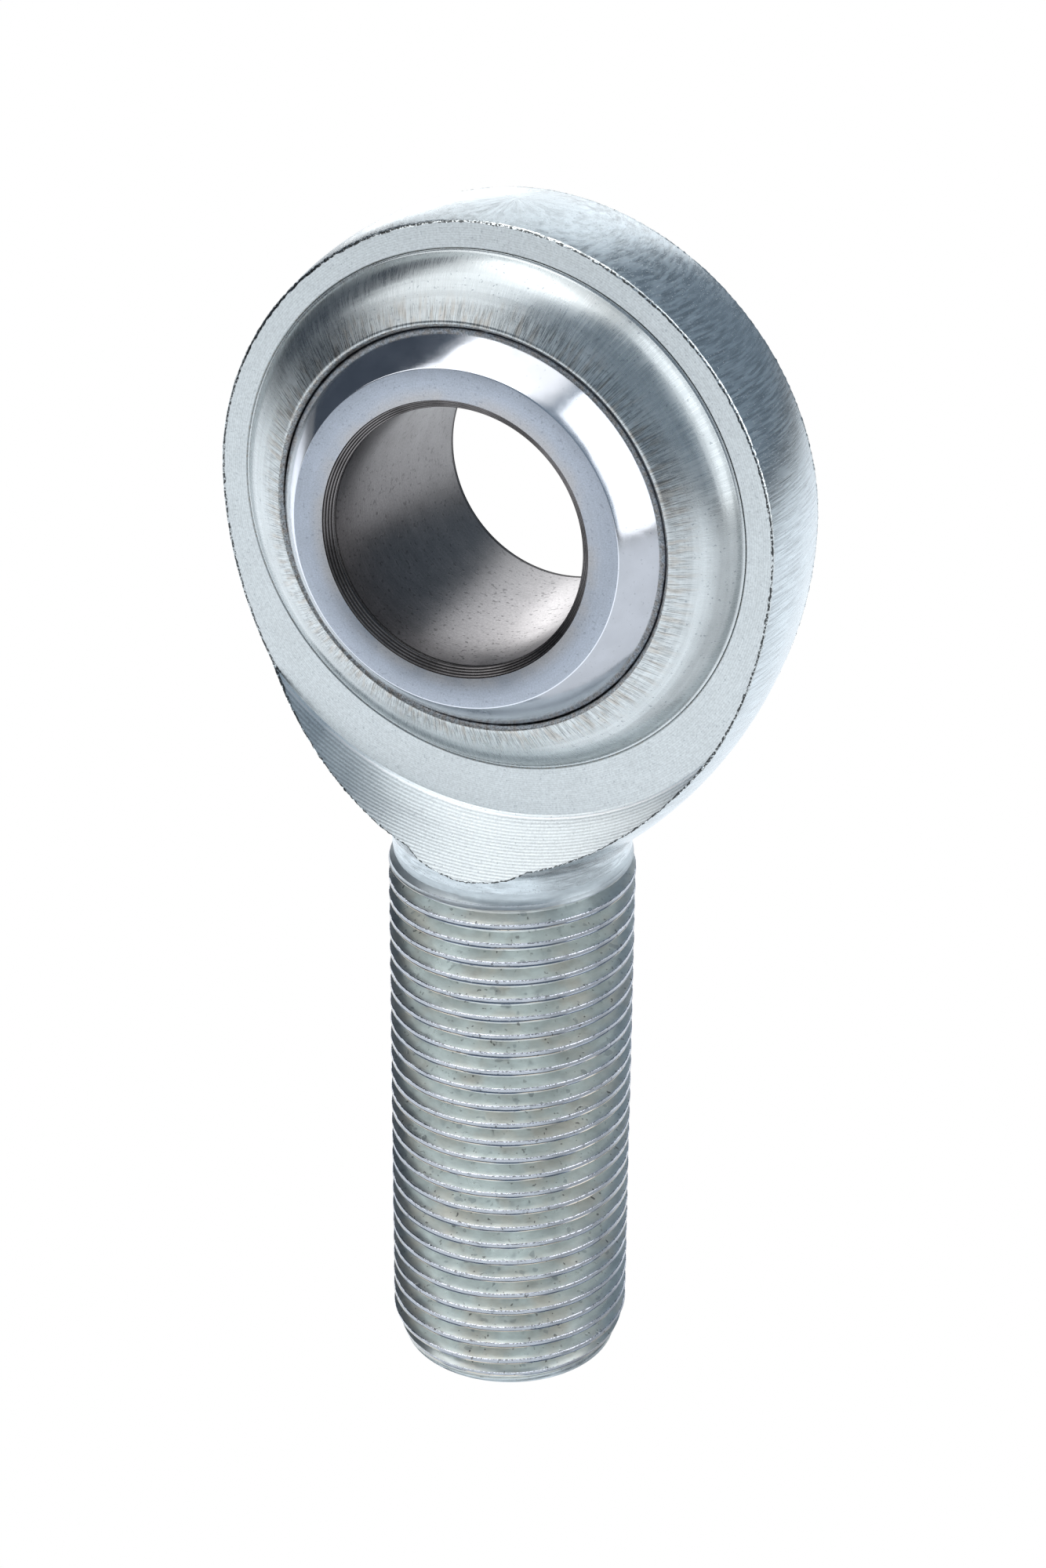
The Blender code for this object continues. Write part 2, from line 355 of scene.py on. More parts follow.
def milled_head(materials):
    """The head with its two faces milled and its seat bored. Each cutter leaves its own material."""
    head = mesh_object("head_blank", turned_mesh("head_blank", head_outline(), AROUND), [materials[BARREL]])
    edge = SEAT_RADIUS + SEAT_CHAMFER
    seat = [(0.0, -CUTTER_REACH), (edge + CUTTER_REACH - FACE_HALF_WIDTH, -CUTTER_REACH),
            (edge, -FACE_HALF_WIDTH), (SEAT_RADIUS, -FACE_HALF_WIDTH + SEAT_CHAMFER)]
    seat += [(radius, -height) for radius, height in reversed(seat)]
    turn_over = Matrix.Rotation(math.pi, 4, "X")
    cutters = [("mill_back", scoop_outline(), materials[MILLED], BORE_FRAME),
               ("mill_front", scoop_outline(), materials[MILLED], BORE_FRAME @ turn_over),
               ("bore_seat", seat, materials[SEAT], BORE_FRAME)]
    tools = []
    for name, outline, material, place in cutters:
        tool = mesh_object(name, turned_mesh(name, outline, AROUND), [material])
        tool.matrix_world = place
        cut = head.modifiers.new(name, "BOOLEAN")
        cut.operation = "DIFFERENCE"
        cut.solver = "EXACT"
        cut.material_mode = "TRANSFER"
        cut.object = tool
        tools.append(tool)
    mesh = evaluated_mesh(head)
    for item in [head] + tools:
        bpy.data.objects.remove(item)
    return mesh


def barrel_normals(points):
    """Normals of the turned outside of the head, shoulder and neck."""
    radius = np.hypot(points[:, 0], points[:, 1])
    rise = points[:, 2] - CENTRE.z
    power = CROWN_POWER - 1.0
    crown = np.stack([radius ** power, np.abs(rise) ** power], 1)
    shoulder = np.stack([radius - HEAD_RADIUS + SHOULDER_RADIUS, rise], 1)
    flat = np.where((rise > 0.0)[:, None], crown, shoulder)
    flat /= np.linalg.norm(flat, axis=1)[:, None]
    fillet = SHOULDER_START - NECK_JOIN - NECK_STRAIGHT
    at_neck = np.clip((SHOULDER_START - points[:, 2]) / fillet, 0.0, 1.0)
    flat = flat * (1.0 - at_neck)[:, None] + np.array([1.0, 0.0]) * at_neck[:, None]
    around = points[:, :2] / np.maximum(radius, 1e-9)[:, None]
    return np.column_stack([around * flat[:, :1], flat[:, 1]])


def scoop_slopes(points):
    """For points on the milled faces: which side they are on, the direction away from the bore's axis,
    and the sine of the scoop's slope there."""
    side = np.sign(points[:, 1])
    across = np.stack([points[:, 0], points[:, 2] - CENTRE.z], 1)
    radius = np.linalg.norm(across, axis=1)
    sine = np.clip(math.sin(SCOOP_STEEP) - (radius - SCOOP_RADIUS) / SCOOP_RAMP_RADIUS,
                   math.sin(SCOOP_SHALLOW), math.sin(SCOOP_STEEP))
    return side, across / np.maximum(radius, 1e-9)[:, None], sine


def whole_numbers(items, attribute):
    values = np.zeros(len(items), np.int32)
    items.foreach_get(attribute, values)
    return values


def vectors(items, attribute):
    values = np.zeros(len(items) * 3, np.float32)
    items.foreach_get(attribute, values)
    return values.reshape(-1, 3).astype(float)


def set_head_normals(mesh):
    """Gives each region of the rod body the normals of the surface that it was cut from."""
    normals = vectors(mesh.corner_normals, "vector")
    points = vectors(mesh.vertices, "co")[whole_numbers(mesh.loops, "vertex_index")]
    sizes = whole_numbers(mesh.polygons, "loop_total")
    region = np.repeat(whole_numbers(mesh.polygons, "material_index"), sizes)
    middle = np.repeat(vectors(mesh.polygons, "center"), sizes, axis=0)

    barrel = (region == BARREL)
    normals[barrel] = barrel_normals(points[barrel])
    milled = (region == MILLED)
    side, outward, sine = scoop_slopes(points[milled])
    on_face = np.abs(middle[milled][:, 1]) < FACE_HALF_WIDTH + ON_FACE
    sine = np.where(on_face, 0.0, sine * SCOOP_SHADING)
    cosine = np.sqrt(1.0 - sine ** 2)
    turned = np.column_stack([-outward[:, 0] * sine * SCOOP_FLATNESS,
                              side * cosine, -outward[:, 1] * sine])
    normals[milled] = turned / np.linalg.norm(turned, axis=1)[:, None]
    mesh.normals_split_custom_set(normals.astype(np.float32))


def rod_body_mesh(materials):
    """Head and shank as one closed mesh, in the regions barrel, milled, seat and thread."""
    mesh = milled_head(materials)
    mesh_edit = bmesh.new()
    mesh_edit.from_mesh(mesh)
    low = NECK_JOIN + JUST_PAST
    cap = [f for f in mesh_edit.faces if all(v.co.z < low for v in f.verts)]
    bmesh.ops.delete(mesh_edit, geom=cap, context="FACES")
    before = len(mesh_edit.faces)
    mesh_edit.from_mesh(shank_mesh())
    mesh_edit.faces.ensure_lookup_table()
    for face in mesh_edit.faces[before:]:
        face.material_index = THREAD
    bmesh.ops.remove_doubles(mesh_edit, verts=mesh_edit.verts, dist=1e-6)
    bmesh.ops.recalc_face_normals(mesh_edit, faces=mesh_edit.faces)
    for face in mesh_edit.faces:
        face.smooth = True
    mesh_edit.to_mesh(mesh)
    mesh_edit.free()
    mesh.set_sharp_from_angle(angle=BODY_SHARP_ANGLE)
    return mesh


# ---------- race and ball

def race_outline():
    """Half of the race as (radius, height along the bore's axis), from its middle round the lip."""
    foot = (RACE_RADIUS, FACE_HALF_WIDTH - LIP_FOOT_SINK)
    fillet_end = (foot[0] - LIP_FOOT_FILLET * math.sin(LIP_FOOT_SLOPE),
                  foot[1] + LIP_FOOT_FILLET * (1.0 - math.cos(LIP_FOOT_SLOPE)))
    crest = (LIP_CREST_RADIUS, LIP_CREST_HEIGHT)
    inside = BALL_RADIUS + RACE_BALL_GAP
    mouth_height = math.sqrt(inside ** 2 - LIP_MOUTH_RADIUS ** 2)
    outline = [(RACE_RADIUS, 0.0), (RACE_RADIUS, foot[1] - LIP_FOOT_ROW)]
    outline += arc(foot, fillet_end, LIP_FOOT_SLOPE, 6)
    drop = (LIP_CONE_RADIUS - LIP_CREST_RADIUS) * math.tan(LIP_CREST_SLOPE)
    cone = (LIP_CONE_RADIUS, LIP_CREST_HEIGHT - drop)
    outline += arc(fillet_end, cone, LIP_CREST_SLOPE - LIP_FOOT_SLOPE, 14)[1:]
    steps = 8
    outline += [(cone[0] + (crest[0] - cone[0]) * i / steps, cone[1] + (crest[1] - cone[1]) * i / steps)
                for i in range(1, steps + 1)]
    outline += arc(crest, (LIP_MOUTH_RADIUS, mouth_height), -math.radians(20.0),
                   len(LIP_LUMP_SHARES) - 1)[1:]
    outline += sphere_arc(inside, mouth_height, 0.0, SOCKET_STEPS)[1:]
    return outline


def race_mesh():
    """The race as a closed ring. The rows from the lip's crest to its mouth are roughened."""
    half = race_outline()
    count = len(half)
    crest_row = count - SOCKET_STEPS - len(LIP_LUMP_SHARES)

    def lumpy(index, radius, height, angle):
        """The swaged end is a little uneven from its crest to its mouth."""
        place = index if index < count else 2 * count - 2 - index
        if not 0 <= place - crest_row < len(LIP_LUMP_SHARES):
            return radius, height
        share = LIP_LUMP_SHARES[place - crest_row]
        spot = Vector((math.cos(angle), math.sin(angle), 0.0))
        bump = noise.noise(spot * 9.0 + Vector((0.0, 0.0, place * 0.8)))
        grain = noise.noise(spot * 75.0 + Vector((0.0, 0.0, place * 2.3)))
        move = share * (0.030 * bump + 0.028 * grain) * MM
        return radius + 0.5 * move, height + math.copysign(move, height)

    return turned_mesh("race_fine", mirrored(half), RING_AROUND, closed=True, roughen=lumpy)


def ball_mesh():
    """The ball as a closed ring: band, rounded edge, flat face, ringed chamfer and bore."""
    half_angle = math.acos(BALL_HALF_WIDTH / BALL_RADIUS)
    face_radius = BALL_RADIUS * math.sin(half_angle)
    band_end = BALL_HALF_WIDTH - BALL_ROUND_EDGE * math.sin(half_angle)
    half = sphere_arc(BALL_RADIUS, 0.0, band_end, 28)
    half += arc(half[-1], (face_radius - BALL_ROUND_EDGE, BALL_HALF_WIDTH), -half_angle, 5)[1:]
    outer = BORE_RADIUS + BORE_CHAMFER
    half += [(outer + 0.02 * MM, BALL_HALF_WIDTH)]
    for i in range(2 * BORE_RINGS + 1):
        cut = BORE_CHAMFER * i / (2 * BORE_RINGS)
        dip = BORE_RING_DIP if i % 2 else 0.0
        half.append((outer - cut + dip, BALL_HALF_WIDTH - cut - 0.01 * MM - dip))
    depth = BALL_HALF_WIDTH - BORE_CHAMFER - BORE_RING_START
    for i in range(BORE_RINGS + 1):
        dip = BORE_RING_DIP if i % 2 else 0.0
        half.append((BORE_RADIUS + dip, depth - i * BORE_RING_PITCH))
    return turned_mesh("ball_fine", mirrored(half), RING_AROUND, closed=True)


# ---------- materials

class Graph:
    """Builds shader nodes. A value may be a number, a colour or another node's output."""

    def __init__(self, tree):
        self.tree = tree

    def feed(self, socket, value):
        if isinstance(value, bpy.types.NodeSocket):
            self.tree.links.new(value, socket)
        elif isinstance(value, tuple) and socket.type == "RGBA":
            socket.default_value = (*value, 1.0)
        else:
            socket.default_value = value

    def node(self, kind, inputs, output=0, **settings):
        item = self.tree.nodes.new(kind)
        for key, value in settings.items():
            setattr(item, key, value)
        for key, value in inputs.items():
            self.feed(item.inputs[key], value)
        return item.outputs[output]

    def math(self, operation, *values):
        return self.node("ShaderNodeMath", dict(enumerate(values)), operation=operation)

    def times(self, first, second):
        return self.math("MULTIPLY", first, second)

    def plus(self, first, second):
        return self.math("ADD", first, second)

    def vector(self, x, y, z):
        return self.node("ShaderNodeCombineXYZ", {0: x, 1: y, 2: z})

    def noise(self, place, scale=1.0, detail=2.0, rough=0.5):
        return self.node("ShaderNodeTexNoise",
                         {"Vector": place, "Scale": scale, "Detail": detail, "Roughness": rough})

    def step(self, value, low, high, start=0.0, end=1.0):
        """Goes smoothly from start to end as the value goes from low to high."""
        return self.node("ShaderNodeMapRange", {"Value": value, "From Min": low, "From Max": high,
                                                "To Min": start, "To Max": end},
                         interpolation_type="SMOOTHSTEP")

    def spread(self, pattern, start, end):
        """Goes from start to end over the middle of a noise pattern's range."""
        return self.step(pattern, 0.3, 0.7, start, end)

    def mix(self, share, first, second, blend="MIX"):
        return self.node("ShaderNodeMix", {0: share, 6: first, 7: second}, 2,
                         data_type="RGBA", blend_type=blend)

    def shade(self, colour, amount):
        """The colour made darker or lighter by a factor."""
        grey = self.vector(amount, amount, amount)
        return self.mix(1.0, colour, grey, "MULTIPLY")


class Metal(Graph):
    """The nodes of one metal. Its patterns are laid out in the piece's own space."""

    def __init__(self, name):
        self.material = bpy.data.materials.new(name)
        self.material.use_nodes = True
        super().__init__(self.material.node_tree)
        self.shader = self.tree.nodes["Principled BSDF"]
        self.set("Metallic", 1.0)
        self.place = self.node("ShaderNodeTexCoord", {}, "Object")

    def set(self, name, value):
        self.feed(self.shader.inputs[name], value)

    def polar(self, about_bore=False):
        """Measures from an axis: radius, the direction across it as u and v, and height along it.
        about_bore is for the rod body, which is in the CAD's frame; a ring's own axis is its Z."""
        x, y, z = (self.node("ShaderNodeSeparateXYZ", {0: self.place}, i) for i in range(3))
        if about_bore:
            y, z = self.math("SUBTRACT", z, CENTRE.z), y
        self.radius = self.math("SQRT", self.plus(self.times(x, x), self.times(y, y)))
        self.u = self.math("DIVIDE", x, self.radius)
        self.v = self.math("DIVIDE", y, self.radius)
        self.height = z

    def streaks(self, value, across, around, detail, rough):
        """Noise in lines that run round the axis, where value, a radius or a height, tells them apart.
        across and around are features per metre of it and per radian of turn."""
        place = self.vector(self.times(value, across),
                            self.times(self.u, around), self.times(self.v, around))
        return self.noise(place, 1.0, detail, rough)

    def radial_strokes(self, around, across, detail, rough):
        """Noise in strokes that point at the axis. around is features per radian, across per metre."""
        place = self.vector(self.times(self.u, around), self.times(self.v, around),
                            self.times(self.radius, across))
        return self.noise(place, 1.0, detail, rough)

    def rings(self, across, around):
        """Streaks on a surface that may face along the axis or away from it."""
        return self.streaks(self.plus(self.radius, self.height), across, around, 3.0, 0.6)

    def spots(self, scale, low, high):
        """Small round spots: 1 where the noise is above high, and 0 where it is below low."""
        return self.step(self.noise(self.place, scale, 1.0, 0.4), low, high)

    def finish(self, colour, roughness, relief, distance, grain_across=None, anisotropy=0.0):
        """Feeds the shader. distance is the bump's height in metres where relief is 1, and grain_across
        is the direction at right angles to the scratches."""
        self.set("Base Color", colour)
        self.set("Roughness", roughness)
        normal = self.node("ShaderNodeBump", {"Height": relief, "Distance": distance, "Strength": 1.0})
        self.set("Normal", normal)
        if grain_across is not None:
            self.set("Anisotropic", anisotropy)
            turned = self.node("ShaderNodeVectorTransform", {0: grain_across},
                               convert_from="OBJECT", convert_to="WORLD", vector_type="VECTOR")
            self.set("Tangent", turned)
        return self.material


ZINC = (0.61, 0.65, 0.66)
ZINC_COOL = (0.56, 0.62, 0.65)
ZINC_DARK = (0.20, 0.23, 0.26)
ZINC_WARM = (0.50, 0.46, 0.41)
ROLLED_ZINC = (0.63, 0.675, 0.66)
ROLLED_WARM = (0.64, 0.63, 0.58)
# Painted highlight on the thread's ragged seam.
CREST_SEAM_HIGHLIGHT = (0.74, 0.76, 0.82)
CREST_ZINC = (0.41, 0.44, 0.48)
CREST_WARM = (0.66, 0.59, 0.49)
CREST_SHADE = (0.10, 0.13, 0.19)
# Painted shade: the socket's dark steel colour stands for the shade in the gap by the ball.
SOCKET_PAINTED_SHADE = (0.16, 0.16, 0.17)
CHROME = (0.75, 0.78, 0.84)
CHROME_SATIN = (0.43, 0.47, 0.535)
BORE_STEEL = (0.300, 0.286, 0.288)
CHAMFER_STEEL = (0.094, 0.089, 0.089)
THREAD_PIT = (0.12, 0.12, 0.12)
CHROME_SPECK = (0.30, 0.33, 0.38)
SATIN_SPECK = (0.22, 0.24, 0.28)
SATIN_STAIN = (0.44, 0.41, 0.38)
BORE_PIT = (0.07, 0.065, 0.065)


def turned_zinc():
    """The barrel: brushed strokes that follow the parallels about the shank's axis, and bright specks."""
    graph = Metal("zinc_turned")
    graph.polar()
    strokes = graph.streaks(graph.height, 5600.0, 7.0, 2.0, 0.5)
    fine = graph.streaks(graph.height, 12000.0, 10.0, 1.0, 0.5)
    grain = graph.noise(graph.place, 9000.0, 1.0, 0.5)
    cloud = graph.noise(graph.place, 230.0, 2.0, 0.5)
    strength = graph.step(graph.step(cloud, 0.35, 0.60), 0.0, 1.0, 0.50, 1.0)
    glints = graph.spots(7000.0, 0.63, 0.74)
    pits = graph.spots(4400.0, 0.70, 0.76)
    tone = graph.plus(graph.step(strokes, 0.32, 0.66, -0.24, 0.16), graph.spread(fine, -0.09, 0.08))
    tone = graph.plus(graph.times(tone, strength), 0.98)
    colour = graph.shade(ZINC_COOL, tone)
    colour = graph.mix(graph.times(pits, 0.35), colour, ZINC_DARK)
    roughness = graph.plus(graph.spread(strokes, 0.20, 0.30), graph.spread(cloud, 0.0, 0.04))
    relief = graph.times(graph.plus(strokes, graph.times(fine, 0.35)), strength)
    relief = graph.plus(relief, graph.plus(graph.times(grain, 0.08), graph.times(glints, 0.6)))
    return graph.finish(colour, roughness, relief, 1.4e-5, graph.vector(0.0, 0.0, 1.0), 0.35)


def milled_zinc(name, brightness, line_share, line_relief, roughness_low, anisotropy):
    """A milled surface: concentric lines about the bore's axis, fine speckle, faint clouds, and a
    painted highlight line where the scoop leaves the face."""
    graph = Metal(name)
    graph.polar(about_bore=True)
    wander = graph.noise(graph.place, 900.0, 2.0, 0.5)
    fine = graph.streaks(graph.radius, 10000.0, 3.0, 3.0, 0.6)
    phase = graph.plus(graph.times(graph.radius, 2.0 * math.pi / SCOOP_LINE_PITCH), graph.times(wander, 2.2))
    lines = graph.step(graph.math("SINE", phase), -1.0, 1.0)
    lines = graph.plus(graph.times(lines, line_share), graph.times(fine, 1.0 - line_share))
    grain = graph.noise(graph.place, 6000.0, 2.0, 0.65)
    cloud = graph.noise(graph.place, 240.0, 3.0, 0.55)
    pits = graph.spots(6200.0, 0.67, 0.75)
    tone = graph.step(lines, 0.2, 0.8, brightness * (1.0 - 0.35 * line_relief),
                      brightness * (1.0 + 0.08 * line_relief))
    tone = graph.times(tone, graph.spread(cloud, 0.95, 1.03))
    tone = graph.times(tone, graph.spread(grain, 0.89, 1.07))
    # Painted highlight: a bright line just inside the scoop's top edge.
    painted_rim_highlight = graph.times(graph.step(graph.radius, SCOOP_RADIUS + 0.24 * MM, SCOOP_RADIUS + 0.14 * MM),
                      graph.step(graph.radius, SCOOP_RADIUS - 0.02 * MM, SCOOP_RADIUS + 0.02 * MM))
    tone = graph.plus(tone, graph.times(painted_rim_highlight, 0.45))
    colour = graph.mix(graph.times(pits, 0.42), graph.shade(ZINC, tone), ZINC_DARK)
    roughness = graph.spread(cloud, roughness_low, roughness_low + 0.06)
    relief = graph.plus(graph.times(lines, line_relief), graph.times(grain, 0.20))
    return graph.finish(colour, roughness, relief, 1.2e-5, graph.vector(graph.u, 0.0, graph.v), anisotropy)


def face_zinc():
    return milled_zinc("zinc_face", brightness=0.95, line_share=0.35, line_relief=0.26,
                       roughness_low=0.28, anisotropy=0.2)


def scoop_zinc():
    # brightness 1.24 paints the scoop lighter than the face: painted light.
    return milled_zinc("zinc_scoop", brightness=1.24, line_share=0.60, line_relief=0.60,
                       roughness_low=0.27, anisotropy=0.35)


def seat_zinc():
    """The bored seat, of which only the edge next to the race shows."""
    graph = Metal("zinc_seat")
    graph.polar(about_bore=True)
    lines = graph.rings(7000.0, 3.0)
    grain = graph.noise(graph.place, 6000.0, 2.0, 0.6)
    colour = graph.mix(graph.step(grain, 0.4, 0.7), ZINC, ZINC_WARM)
    return graph.finish(colour, graph.spread(lines, 0.30, 0.45), graph.plus(lines, grain), 5e-6)


def rolled_zinc():
    """The rolled thread: bright crests with a rough seam that carries a painted highlight, a painted shade
    line under each crest, duller flanks with warm patches and pits.
    """
    graph = Metal("zinc_rolled")
    graph.polar()
    turn = graph.times(graph.math("ARCTAN2", graph.v, graph.u), 0.5 / math.pi)
    climbed = graph.math("SUBTRACT", graph.times(graph.height, 1.0 / THREAD_PITCH), turn)
    share = graph.math("FRACT", graph.plus(climbed, 0.5 - CREST_HEIGHT_AT_ZERO / THREAD_PITCH))
    threaded = graph.step(graph.height, RUNOUT_END, RUNOUT_START - 0.8 * MM)

    def band(low, high, blur=0.015):
        """1 between two shares of the pitch."""
        inside = graph.times(graph.step(share, low - blur, low + blur),
                             graph.step(share, high + blur, high - blur))
        return graph.times(inside, threaded)

    crest, ragged, lower_ridge = band(0.372, 0.640), band(0.585, 0.645), band(0.362, 0.425)
    seam_wave = graph.streaks(graph.height, 9000.0, 55.0, 2.0, 0.6)
    marks = graph.streaks(graph.height, 6000.0, 12.0, 3.0, 0.6)
    flow = graph.streaks(graph.height, 500.0, 3.0, 3.0, 0.5)
    grain = graph.noise(graph.place, 8000.0, 2.0, 0.6)
    cloud = graph.noise(graph.place, 260.0, 3.0, 0.6)
    pits = graph.times(graph.spots(2700.0, 0.69, 0.73), graph.step(cloud, 0.4, 0.6, 0.35, 1.0))
    pits = graph.times(pits, threaded)
    blots = graph.times(graph.spots(1300.0, 0.68, 0.73), threaded)
    flank = graph.mix(graph.step(cloud, 0.45, 0.68, 0.0, 0.8), ROLLED_ZINC, ROLLED_WARM)
    flank = graph.mix(threaded, ZINC_COOL, flank)
    flank = graph.shade(flank, graph.spread(flow, 0.90, 1.06))
    colour = graph.mix(crest, flank, CREST_ZINC)
    # Painted shade: a dark line (CREST_SHADE) on each crest's lower ridge, warm (CREST_WARM) in patches.
    patches = graph.streaks(graph.height, 60.0, 2.1, 1.0, 0.5)
    line = graph.mix(graph.step(patches, 0.44, 0.54), CREST_SHADE, CREST_WARM)
    colour = graph.mix(lower_ridge, colour, line)
    # Painted highlight: the ragged seam at the crest's upper edge, lighter than the zinc.
    edge = graph.shade(CREST_SEAM_HIGHLIGHT, graph.step(seam_wave, 0.35, 0.58, 0.35, 1.15))
    colour = graph.mix(ragged, colour, edge)
    colour = graph.shade(colour, graph.spread(marks, 0.93, 1.05))
    colour = graph.mix(graph.times(pits, 0.8), colour, THREAD_PIT)
    colour = graph.mix(graph.times(blots, 0.4), colour, ZINC_DARK)
    roughness = graph.plus(graph.step(crest, 0.0, 1.0, 0.31, 0.17), graph.spread(cloud, -0.04, 0.05))
    roughness = graph.plus(roughness, graph.step(threaded, 0.0, 1.0, 0.16, 0.0))
    relief = graph.plus(graph.times(marks, 0.35), graph.times(grain, 0.25))
    relief = graph.plus(relief, graph.times(graph.times(ragged, seam_wave), 1.6))
    relief = graph.plus(relief, graph.times(graph.plus(pits, blots), -1.0))
    return graph.finish(colour, roughness, relief, 9e-6, graph.vector(0.0, 0.0, 1.0), 0.3)


def lip_zinc():
    """The swaged lips: radial strokes near the crest, faint ridges round them, brown tints."""
    graph = Metal("zinc_lip")
    graph.polar()
    near_crest = graph.step(graph.radius, LIP_CREST_RADIUS + 2.4 * MM, LIP_CREST_RADIUS + 0.7 * MM)
    strokes = graph.radial_strokes(220.0, 750.0, 3.0, 0.65)
    wide_strokes = graph.radial_strokes(42.0, 620.0, 2.0, 0.5)
    ridges = graph.streaks(graph.radius, 3600.0, 1.6, 2.0, 0.5)
    grain = graph.noise(graph.place, 8000.0, 2.0, 0.6)
    cloud = graph.noise(graph.place, 300.0, 3.0, 0.6)
    pits = graph.spots(4600.0, 0.68, 0.75)
    tone = graph.step(strokes, 0.34, 0.60, 0.50, 1.08)
    tone = graph.plus(graph.times(tone, near_crest), graph.math("SUBTRACT", 1.0, near_crest))
    tone = graph.times(tone, graph.spread(ridges, 0.92, 1.04))
    tone = graph.times(tone, graph.spread(cloud, 0.92, 1.04))
    warm = graph.times(graph.step(wide_strokes, 0.45, 0.68), graph.times(near_crest, 0.6))
    colour = graph.shade(graph.mix(warm, ZINC, ZINC_WARM), tone)
    colour = graph.mix(graph.times(pits, 0.55), colour, ZINC_DARK)
    roughness = graph.plus(graph.spread(strokes, 0.20, 0.32), graph.spread(cloud, 0.0, 0.05))
    relief = graph.plus(graph.times(graph.times(strokes, near_crest), 0.55), graph.times(ridges, 0.6))
    relief = graph.plus(relief, graph.plus(graph.times(wide_strokes, 0.25), graph.times(grain, 0.30)))
    return graph.finish(colour, roughness, relief, 1.0e-5)


def lip_end_zinc():
    """The rough, cut end of the lip, next to the ball, darkened as painted shade in the gap."""
    graph = Metal("zinc_lip_end")
    grain = graph.noise(graph.place, 8500.0, 2.0, 0.7)
    lumps = graph.noise(graph.place, 2600.0, 2.0, 0.6)
    colour = graph.mix(graph.step(lumps, 0.35, 0.65), ZINC_WARM, ZINC)
    # Painted shade: the grain darkens the colour to between 0.28 and 0.95 of it, for the shade in the gap by
    # the ball.
    colour = graph.shade(colour, graph.spread(grain, 0.28, 0.95))
    relief = graph.plus(graph.times(grain, 0.8), graph.times(lumps, 0.8))
    return graph.finish(colour, graph.spread(lumps, 0.32, 0.5), relief, 2.2e-5)


def socket_painted_shade():
    """The race's spherical inside: steel painted dark as shade in the gap by the ball, lapped round the
    bore's axis.
    """
    graph = Metal("socket_painted_shade")
    graph.polar()
    lines = graph.rings(6000.0, 3.0)
    grain = graph.noise(graph.place, 5000.0, 2.0, 0.6)
    colour = graph.shade(SOCKET_PAINTED_SHADE, graph.spread(grain, 0.8, 1.15))
    return graph.finish(colour, graph.spread(lines, 0.30, 0.42), graph.plus(lines, grain), 5e-6)


def burr_zinc():
    """The burr: a painted highlight line along the flat face, and a broken line of painted shade and painted
    highlight on the scoop.
    """
    graph = Metal("zinc_burr")
    grain = graph.noise(graph.place, 4500.0, 2.0, 0.7)
    depth = graph.math("ABSOLUTE", graph.node("ShaderNodeSeparateXYZ", {0: graph.place}, 1))
    # Painted highlight: the zinc lightened up to 1.5 times in spots.
    bright = graph.shade(ZINC, graph.step(grain, 0.34, 0.46, 0.45, 1.50))
    # Painted shade and highlight: the zinc darkened to 0.16 of it in spots, lightened elsewhere.
    dark = graph.shade(ZINC, graph.step(grain, 0.50, 0.60, 0.16, 1.35))
    on_scoop = graph.step(depth, FACE_HALF_WIDTH - 0.005 * MM, FACE_HALF_WIDTH + 0.025 * MM)
    colour = graph.mix(on_scoop, bright, dark)
    return graph.finish(colour, graph.spread(grain, 0.35, 0.18), grain, 1.5e-5)


def polished_chrome():
    """The ball's band: nearly a mirror, with a faint haze and a little waviness."""
    graph = Metal("chrome_band")
    haze = graph.noise(graph.place, 380.0, 3.0, 0.6)
    grain = graph.noise(graph.place, 9000.0, 2.0, 0.6)
    waves = graph.noise(graph.place, 620.0, 1.0, 0.4)
    graph.polar()
    lapping = graph.streaks(graph.height, 7000.0, 5.0, 2.0, 0.5)
    specks = graph.spots(5200.0, 0.70, 0.76)
    colour = graph.shade(CHROME, graph.spread(haze, 0.94, 1.02))
    colour = graph.mix(graph.times(specks, 0.35), colour, CHROME_SPECK)
    roughness = graph.plus(graph.spread(haze, 0.11, 0.17), graph.step(grain, 0.4, 0.8, 0.0, 0.04))
    fine_marks = graph.plus(graph.times(grain, 0.12), graph.times(lapping, 0.14))
    relief = graph.plus(graph.times(waves, 2.6), fine_marks)
    return graph.finish(colour, roughness, relief, 5e-6)


def satin_chrome():
    """The ball's flat faces: satin, lavender grey, with a fine grain and faint turning lines."""
    graph = Metal("chrome_face")
    graph.polar()
    lines = graph.streaks(graph.radius, 9000.0, 2.5, 2.0, 0.5)
    grain = graph.noise(graph.place, 9000.0, 2.0, 0.6)
    cloud = graph.noise(graph.place, 340.0, 3.0, 0.6)
    specks = graph.spots(4200.0, 0.65, 0.72)
    tone = graph.times(graph.spread(cloud, 0.90, 1.07), graph.spread(grain, 0.89, 1.08))
    tone = graph.times(tone, graph.spread(lines, 0.97, 1.03))
    inner = BORE_RADIUS + BORE_CHAMFER
    tinted = graph.times(graph.step(graph.radius, inner + 1.3 * MM, inner),
                         graph.step(cloud, 0.35, 0.6, 0.15, 0.6))
    colour = graph.shade(graph.mix(tinted, CHROME_SATIN, SATIN_STAIN), tone)
    colour = graph.mix(graph.times(specks, 0.4), colour, SATIN_SPECK)
    roughness = graph.spread(cloud, 0.36, 0.46)
    relief = graph.plus(graph.times(grain, 0.5), graph.times(lines, 0.3))
    return graph.finish(colour, roughness, relief, 5e-6)


